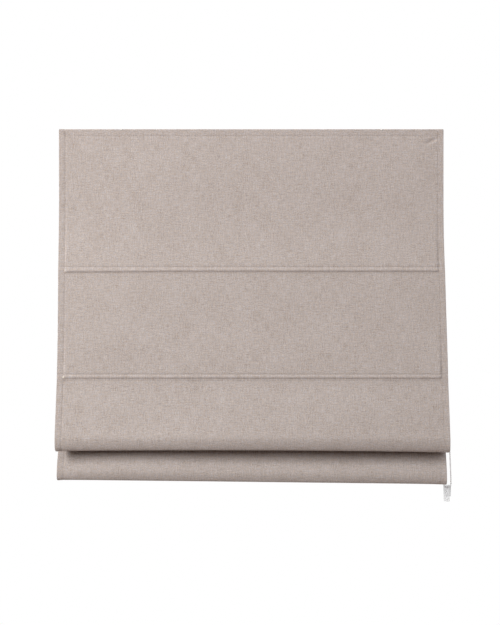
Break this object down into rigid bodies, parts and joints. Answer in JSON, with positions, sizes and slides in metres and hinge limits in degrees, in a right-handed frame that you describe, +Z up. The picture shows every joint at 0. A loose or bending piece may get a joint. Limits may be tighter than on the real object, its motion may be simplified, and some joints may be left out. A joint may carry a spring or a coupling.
{
  "type": "roman blind",
  "caption": "Partly raised roman blind: linen-look cloth on rods, cassette headrail with cord spools, bead chain drive and a wall-fixed chain tensioner.",
  "frame": {"origin": "on the wall, in the middle of the four screw holes of the two brackets", "axes": "+X to the viewer's right along the headrail, +Y into the wall, +Z up"},
  "size_m": [1.1853, 0.1112, 1.1321],
  "materials": {
    "linen_cloth": "greige plain weave with slubs",
    "pocket_tape": "woven tape",
    "hook_tape": "woven hook tape",
    "white_enamel": "white powder coat",
    "white_plastic": "moulded, fine matt grain",
    "grey_plastic": "moulded, satin",
    "steel": "drawn, bright",
    "rod_fibre": "pultruded glass fibre",
    "lift_cord": "braided polyester",
    "chain_plastic": "moulded, glossy",
    "clear_plastic": "clear moulding"
  },
  "bodies": {
    "blind": {"bracket_left": "white_enamel", "bracket_right": "white_enamel", "headrail": "white_enamel", "end_cap": "white_plastic", "hook_tape": "hook_tape", "loop_tape": "pocket_tape", "drive_housing": "white_plastic", "drive_cover": "white_plastic", "brake_spring": "steel", "cradle_left": "white_plastic", "cradle_middle": "white_plastic", "cradle_right": "white_plastic", "lift_cord_left": "lift_cord", "lift_cord_middle": "lift_cord", "lift_cord_right": "lift_cord", "cord_stops": "white_plastic", "fabric": "linen_cloth", "pocket_tape_1": "pocket_tape", "pocket_tape_2": "pocket_tape", "pocket_tape_3": "pocket_tape", "pocket_tape_4": "pocket_tape", "rod_1": "rod_fibre", "rod_2": "rod_fibre", "rod_3": "rod_fibre", "rod_4": "rod_fibre", "rings_1": "clear_plastic", "rings_2": "clear_plastic", "rings_3": "clear_plastic", "rings_4": "clear_plastic", "weight_bar": "white_enamel", "chain_front_run": "chain_plastic", "chain_rear_run": "chain_plastic", "chain_drive_bend": "chain_plastic", "chain_lower_bend": "chain_plastic", "chain_connector": "clear_plastic", "tensioner_base": "clear_plastic", "tensioner_cover": "clear_plastic"},
    "drive": {"sprocket": "grey_plastic", "drive_shaft": "steel", "shaft_bush": "grey_plastic", "spool_left": "grey_plastic", "spool_middle": "grey_plastic", "spool_right": "grey_plastic", "winding_left": "lift_cord", "winding_middle": "lift_cord", "winding_right": "lift_cord"},
    "left_lever": {"lever_left": "white_enamel"},
    "right_lever": {"lever_right": "white_enamel"}
  },
  "joints": [
    {"name": "drive_turn", "type": "hinge", "parent": "blind", "child": "drive", "pos_m": [0, -0.024, 0.002], "axis": [1, 0, 0], "continuous": true},
    {"name": "left_lever_swing", "type": "hinge", "parent": "blind", "child": "left_lever", "pos_m": [-0.3885, -0.021, 0.018], "axis": [0, 0, -1], "range_deg": [0, 90]},
    {"name": "right_lever_swing", "type": "hinge", "parent": "blind", "child": "right_lever", "pos_m": [0.3885, -0.021, 0.018], "axis": [0, 0, -1], "range_deg": [0, 90]}
  ]
}
